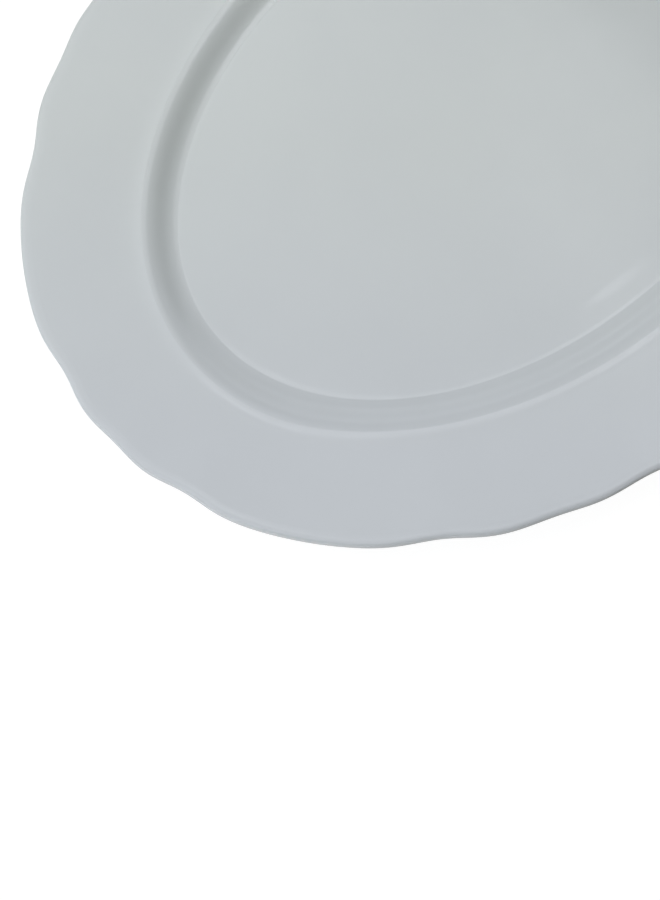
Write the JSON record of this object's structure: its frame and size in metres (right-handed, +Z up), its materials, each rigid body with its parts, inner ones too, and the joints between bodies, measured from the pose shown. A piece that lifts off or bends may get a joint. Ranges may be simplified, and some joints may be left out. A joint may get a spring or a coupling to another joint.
{
  "type": "serving platter",
  "caption": "Oval white china serving platter with a flat well, a sloping cove, a broad flange, a scalloped rolled edge and a foot ring, for serving food.",
  "frame": {"origin": "centre of the platter in the plane that its foot ring stands on", "axes": "+X along the platter, +Y across it, +Z up out of the well"},
  "size_m": [0.3562, 0.284, 0.0192],
  "materials": {
    "china_glaze": "clear gloss glaze over white china",
    "bare_foot": "fired clay, ground smooth and left without glaze"
  },
  "bodies": {
    "root": {"well_floor": "china_glaze", "cove_wall": "china_glaze", "flange": "china_glaze", "lip_roll": "china_glaze", "foot_ring": "bare_foot"}
  },
  "joints": []
}
